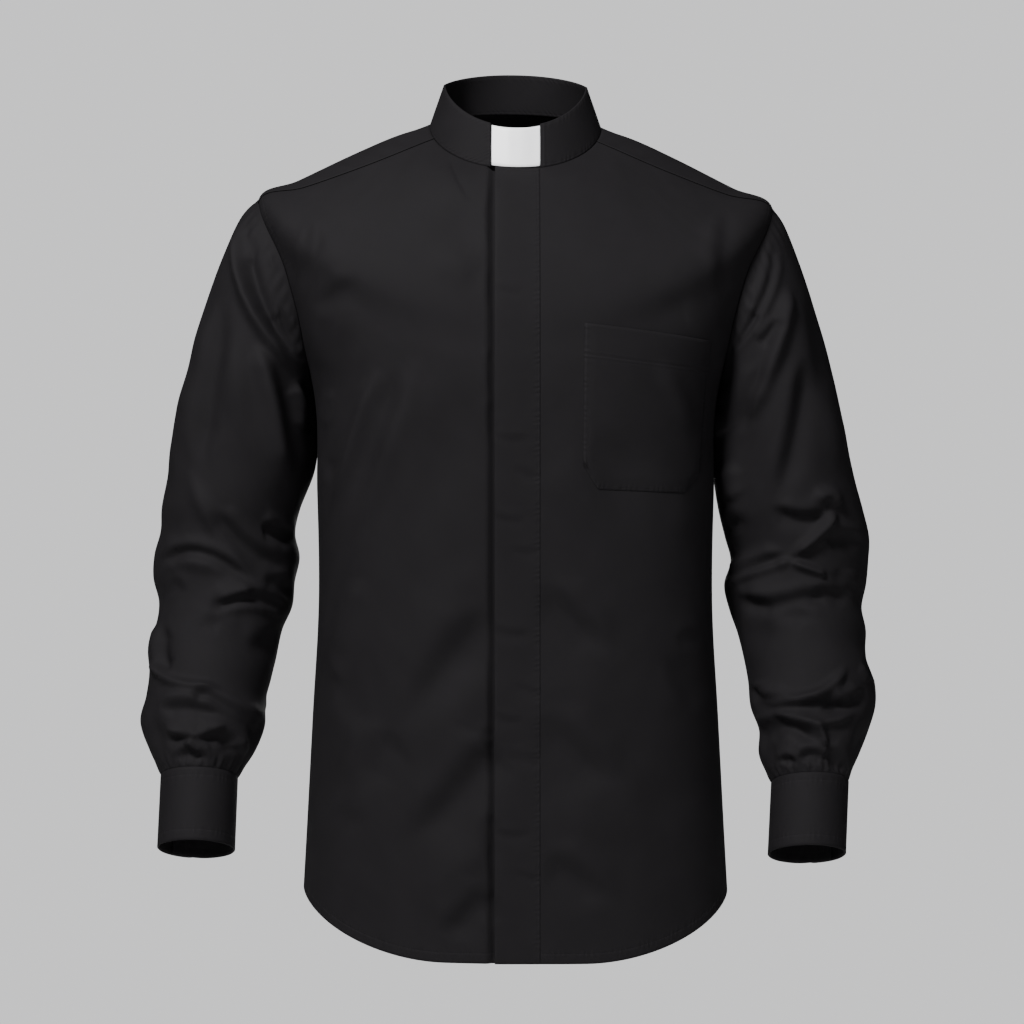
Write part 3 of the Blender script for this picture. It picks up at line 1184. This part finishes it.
# %% the cuffs
TURN_PER_MM = 1.7  # degrees of the cuff to a millimetre of its lap
LAP_TURN = 22  # degrees over which the lower end sinks under the upper one
CUFF_LINE = 7.5  # mm from the cuff's upper edge to its second line


def on_cuff(word, side, down, turn, depth):
    """A point of the cuff: the sleeve's last section carried on down the forearm, depth mm in."""
    last = {key: values[-1] for key, values in SLEEVE[word].items()}
    pitch = math.radians(last["pitch"])
    half = (last["out"] - last["inn"]) / 2 + BAND / 2 - depth
    middle_x = (last["out"] + last["inn"]) / 2 + CUFF_DRIFT[word] * down / CUFF_HIGH
    deep = (last["deep"] + BAND / 2 - depth) * np.sin(np.radians(turn))
    x = side * (middle_x + half * np.cos(np.radians(turn)))
    y = last["y"] - down * math.sin(pitch) - math.cos(pitch) * deep
    z = last["out_z"] - down * math.cos(pitch) + math.sin(pitch) * deep
    return np.stack(np.broadcast_arrays(x, y, z), -1)


def build_cuff(word, side):
    """A strip wound round from the slit, a lap more than once: its end sinks under its start."""
    down, share = np.meshgrid(np.linspace(SEAM, CUFF_HIGH, 26), np.linspace(0, 1, 120), indexing="ij")
    turn = CUFF_SLIT + share * (360 + CUFF_OVERLAP * TURN_PER_MM)
    sink = (BAND + LAY) * ease((turn - CUFF_SLIT - 360 + LAP_TURN) / LAP_TURN)
    points = on_cuff(word, side, down, turn, sink)
    outs = square_to(points, points - points.mean(1, keepdims=True))
    across = lengths(points, 1)
    edge = np.minimum(CUFF_HIGH - down, from_sides(across))
    shell(f"{word}_cuff_cloth", points, outs, BAND * 0.85, cuff_cloth, f"{word}_cuff",
          edge=edge, band=down - CUFF_LINE, run=across)


# %% the sleeve plackets
PLACKET_ROWS, PLACKET_TURNS = (14.2, 19.5), (276, 300)  # sections and degrees that the strip covers


def build_sleeve_placket(word):
    """A strip of the sleeve's own points, above the cuff's slit, laid on it."""
    rows, turns, points, outs = sleeve_grids[word]
    i = np.flatnonzero((rows > PLACKET_ROWS[0]) & (rows < PLACKET_ROWS[1]))
    j = np.flatnonzero((turns >= PLACKET_TURNS[0]) & (turns <= PLACKET_TURNS[1]))
    laid = (points + outs * (LAY + THIN))[np.ix_(i, j)]
    across, down = lengths(laid, 1), lengths(laid, 0)
    shell(f"{word}_sleeve_placket_cloth", laid, outs[np.ix_(i, j)], THIN, strip_cloth,
          f"{word}_sleeve_placket", edge=np.minimum(from_sides(across), down), run=down)


# %% the cuff buttons
BUTTON_R, BUTTON_HIGH = 5.0, 2.3
BUTTON_TURN, BUTTON_DOWN = 12, 30.0  # degrees past the slit, and mm below the cuff's upper edge
HOLE_OUT, HOLE_R, HOLE_DEEP = 1.15, 0.95, 1.3


def button_height(u, v):
    """The button's top: a rounded rim round a sunk middle, with four holes."""
    r = np.hypot(u, v)
    height = BUTTON_HIGH - 0.5 * ease((BUTTON_R - 1 - r) / 1.2) - 0.7 * ease((r - BUTTON_R + 0.7) / 0.7)
    for cu, cv in ((1, 1), (1, -1), (-1, 1), (-1, -1)):
        from_hole = np.hypot(u - HOLE_OUT * cu, v - HOLE_OUT * cv)
        height = height - HOLE_DEEP * ease((HOLE_R - from_hole) / 0.3)
    return height


def build_button(word, side):
    """A disc of rings: down its top from the middle, over the rim and in along its flat underside."""
    radii, angles = np.linspace(0.02, BUTTON_R, 44), np.radians(np.arange(0, 360, 4))
    r, t = np.meshgrid(radii, angles, indexing="ij")
    u, v = r * np.cos(t), r * np.sin(t)
    top = np.stack([u, v, button_height(u, v)], -1)
    under = np.stack([u, v, 0 * u], -1)[::-2]
    rings = np.concatenate([top, under])
    turn = CUFF_SLIT + BUTTON_TURN
    seat = on_cuff(word, side, BUTTON_DOWN, turn, -LAY)
    axis = unit(on_cuff(word, side, BUTTON_DOWN, turn, -10.0) - seat)
    first = unit(np.cross(axis, UP))
    rings = seat + axis * LAY + rings @ np.stack([first, np.cross(axis, first), axis])
    rings[..., 2] -= rings[..., 0] * LEAN
    count, wide, _ = rings.shape
    index = np.arange(count * wide).reshape(count, wide)
    after = np.roll(index, -1, 1)
    faces = np.stack([index[:-1], index[1:], after[1:], after[:-1]], -1).reshape(-1, 4).tolist()
    faces += [index[0].tolist(), index[-1, ::-1].tolist()]
    mesh = bpy.data.meshes.new(f"{word}_cuff_button_disc")
    mesh.from_pydata((rings.reshape(-1, 3) * MM).tolist(), [], faces)
    mesh.polygons.foreach_set("use_smooth", np.ones(len(faces), bool))
    button = bpy.data.objects.new(mesh.name, mesh)
    bpy.context.scene.collection.objects.link(button)
    mesh.materials.append(button_black)
    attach(button, "root")
    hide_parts(f"{word}_cuff_button")
    print(f"{mesh.name}: {len(faces)} faces, {2 * BUTTON_R:.0f} mm across")


# %% the button's material: dark resin with a faint swirl
button_black, tree, surface = new_surface("black button")
where = put(tree, "ShaderNodeTexCoord")
swirl = put(tree, "ShaderNodeTexNoise", Scale=420.0, Detail=3.0, Distortion=1.2)
tone = put(tree, "ShaderNodeMix", data_type="RGBA")
set_inputs(tone, A=(0.006, 0.006, 0.007, 1), B=(0.016, 0.015, 0.016, 1))
join(
    tree,
    (where.outputs["Object"], swirl.inputs["Vector"]),
    (swirl.outputs["Fac"], tone.inputs["Factor"]),
    (tone.outputs["Result"], surface.inputs["Base Color"]),
)
set_inputs(surface, Roughness=0.28)

for word, side in SIDES:
    build_cuff(word, side)
    build_sleeve_placket(word)
    build_button(word, side)


# %% [markdown]
# ## Collar and tab
# The standing collar is a stiff band with square ends that leaves the throat open. The white tab is
# a thin plastic strip tucked behind the two ends. Both could be cut from a cylinder, but a real
# collar is wider at its foot than at its top and dips at the front. Here both lie between the neck's
# girth line and a second one at the top, the tab a layer further in and bowed out a little
# in the gap.

# %% the standing collar
NECK_RING = {key: values[0] for key, values in BODY.items()}
TOP_RING = {key: values[0] for key, values in COLLAR_TOP.items()}
LEVEL = np.array([1, 1, 0])
NECK_MIDDLE = np.array([0, -8, 0])  # the collar's thickness points towards it
TAB_FOOT, TAB_TOP, TAB_BOW = 0.045, 0.965, 1.5  # shares of the collar's height, and mm


def on_collar(up, around, depth):
    """A point of the collar, from the neck's girth line (up 0) to its upper edge (up 1)."""
    low = on_girth(NECK_RING, around)
    low[..., 2] += SEAM + 0.1
    point = mix(low, on_girth(TOP_RING, around), np.asarray(up)[..., None])
    return point - unit(point * LEVEL - NECK_MIDDLE) * np.asarray(depth)[..., None]


def build_collar():
    """The band from one end round the back to the other, 22.8 mm from the middle at both ends."""
    up, share = np.meshgrid(np.linspace(0, 1, 22), np.linspace(0, 1, 190), indexing="ij")
    end = mix(around_on(NECK_RING, COLLAR_END), around_on(TOP_RING, COLLAR_END), up)
    points = on_collar(up, mix(end, 360 - end, share), 0 * up)
    across, down = lengths(points, 1), lengths(points, 0)
    edge = np.minimum(from_sides(across), np.minimum(down, down[-1:] - down))
    shell("collar_cloth", points, square_to(points, points * LEVEL), BAND * 0.9, collar_cloth, "collar",
          edge=edge, run=across)


def build_tab():
    """The strip behind the ends: depth = band + lay + 0.1 - bow, with the bow only in the gap."""
    heights, widths = np.linspace(TAB_FOOT, TAB_TOP, 14), np.linspace(-TAB_HALF, TAB_HALF, 48)
    up, x = np.meshgrid(heights, widths, indexing="ij")
    around = mix(around_on(NECK_RING, x), around_on(TOP_RING, x), up)
    bow = TAB_BOW * ease((COLLAR_END - 3 - np.abs(x)) / 16)
    points = on_collar(up, around, BAND + LAY + 0.1 - bow)
    shell("collar_tab_strip", points, square_to(points, FRONT), TAB * 0.9, tab_white, "collar_tab")


# %% the tab's material: smooth plastic with a slight haze and a fine grain
tab_white, tree, surface = new_surface("white tab")
where = put(tree, "ShaderNodeUVMap", uv_map="weave")
haze = put(tree, "ShaderNodeTexNoise", Scale=60.0, Detail=3.0)
grain = put(tree, "ShaderNodeTexNoise", Scale=1500.0, Detail=2.0)
tone = put(tree, "ShaderNodeMix", data_type="RGBA")
set_inputs(tone, A=(0.88, 0.88, 0.9, 1), B=(0.93, 0.93, 0.94, 1))
bump = put(tree, "ShaderNodeBump", Strength=0.3, Distance=MM * 0.05)
join(
    tree,
    (where.outputs["UV"], haze.inputs["Vector"]),
    (where.outputs["UV"], grain.inputs["Vector"]),
    (haze.outputs["Fac"], tone.inputs["Factor"]),
    (grain.outputs["Fac"], bump.inputs["Height"]),
    (tone.outputs["Result"], surface.inputs["Base Color"]),
    (between(tree, haze.outputs["Fac"], 0.34, 0.46), surface.inputs["Roughness"]),
    (bump.outputs["Normal"], surface.inputs["Normal"]),
)
build_collar()
build_tab()

# %% [markdown]
# ## Floor, light and camera
# Black cloth shows its folds only by where light falls on it, so it needs one clear light. A big
# even one would flatten it. The key light stands high in front on the wearer's right, a weak
# second light opens the other side, a low one reaches under the folds, and one behind keeps the
# back readable. The floor is a plain pale disc well below the hem. The camera looks level from
# 2.6 m with a long lens.

# %% stage
FLOOR_R, FLOOR_Z, FLOOR_SIDES = 2.4, -1.45, 96


def build_floor():
    """A flat disc below the hem, in metres."""
    turns = np.linspace(0, 2 * np.pi, FLOOR_SIDES, endpoint=False)
    rim = [FLOOR_R * np.cos(turns), FLOOR_R * np.sin(turns), np.full(FLOOR_SIDES, FLOOR_Z)]
    mesh = bpy.data.meshes.new("floor")
    mesh.from_pydata(np.stack(rim, -1).tolist(), [], [list(range(FLOOR_SIDES))])
    floor = bpy.data.objects.new("floor", mesh)
    bpy.context.scene.collection.objects.link(floor)
    material, _, surface = new_surface("pale floor")
    set_inputs(surface, Base_Color=(0.8, 0.8, 0.8, 1), Roughness=0.8)
    mesh.materials.append(material)


build_floor()

# %% the room: pale to the camera, and nearly dark as a light
world = bpy.data.worlds.new("studio")
bpy.context.scene.world = world
world.use_nodes = True
sky = world.node_tree
background = sky.nodes["Background"]
set_inputs(background, Color=(1, 1, 1, 1), Strength=0.05)
seen = put(sky, "ShaderNodeBackground", Color=(0.93, 0.93, 0.94, 1), Strength=1.0)
path = put(sky, "ShaderNodeLightPath")
chosen = put(sky, "ShaderNodeMixShader")
join(
    sky,
    (path.outputs["Is Camera Ray"], chosen.inputs[0]),
    (background.outputs[0], chosen.inputs[1]),
    (seen.outputs[0], chosen.inputs[2]),
    (chosen.outputs[0], sky.nodes["World Output"].inputs["Surface"]),
)

# %% lights and camera
CENTRE = (0, 0, -0.35)


def area_light(name, place, size, watts):
    """A soft square light at place, turned towards the shirt's middle, both in metres."""
    lamp = bpy.data.lights.new(name, "AREA")
    lamp.size, lamp.energy = size, watts
    light = bpy.data.objects.new(name, lamp)
    light.location = place
    direction = np.array(CENTRE) - np.array(place)
    direction = direction / np.linalg.norm(direction)
    light.rotation_euler = (math.acos(-direction[2]), 0, math.atan2(-direction[0], direction[1]))
    bpy.context.scene.collection.objects.link(light)


area_light("key", (-1.1, -1.9, 1.85), 0.65, 196)
area_light("second", (1.6, -2.3, 0.3), 0.8, 25)
area_light("low fill", (-0.1, -3.0, -0.7), 1.2, 10)
area_light("rear", (0.3, 2.9, 0.1), 1.2, 30)

camera = bpy.data.cameras.new("camera")
camera.lens, camera.sensor_width = 98.8, 36
eye = bpy.data.objects.new("camera", camera)
eye.location = (-0.0032, -2.6, -0.355)
eye.rotation_euler = (math.pi / 2, 0, 0)
bpy.context.scene.collection.objects.link(eye)
bpy.context.scene.camera = eye
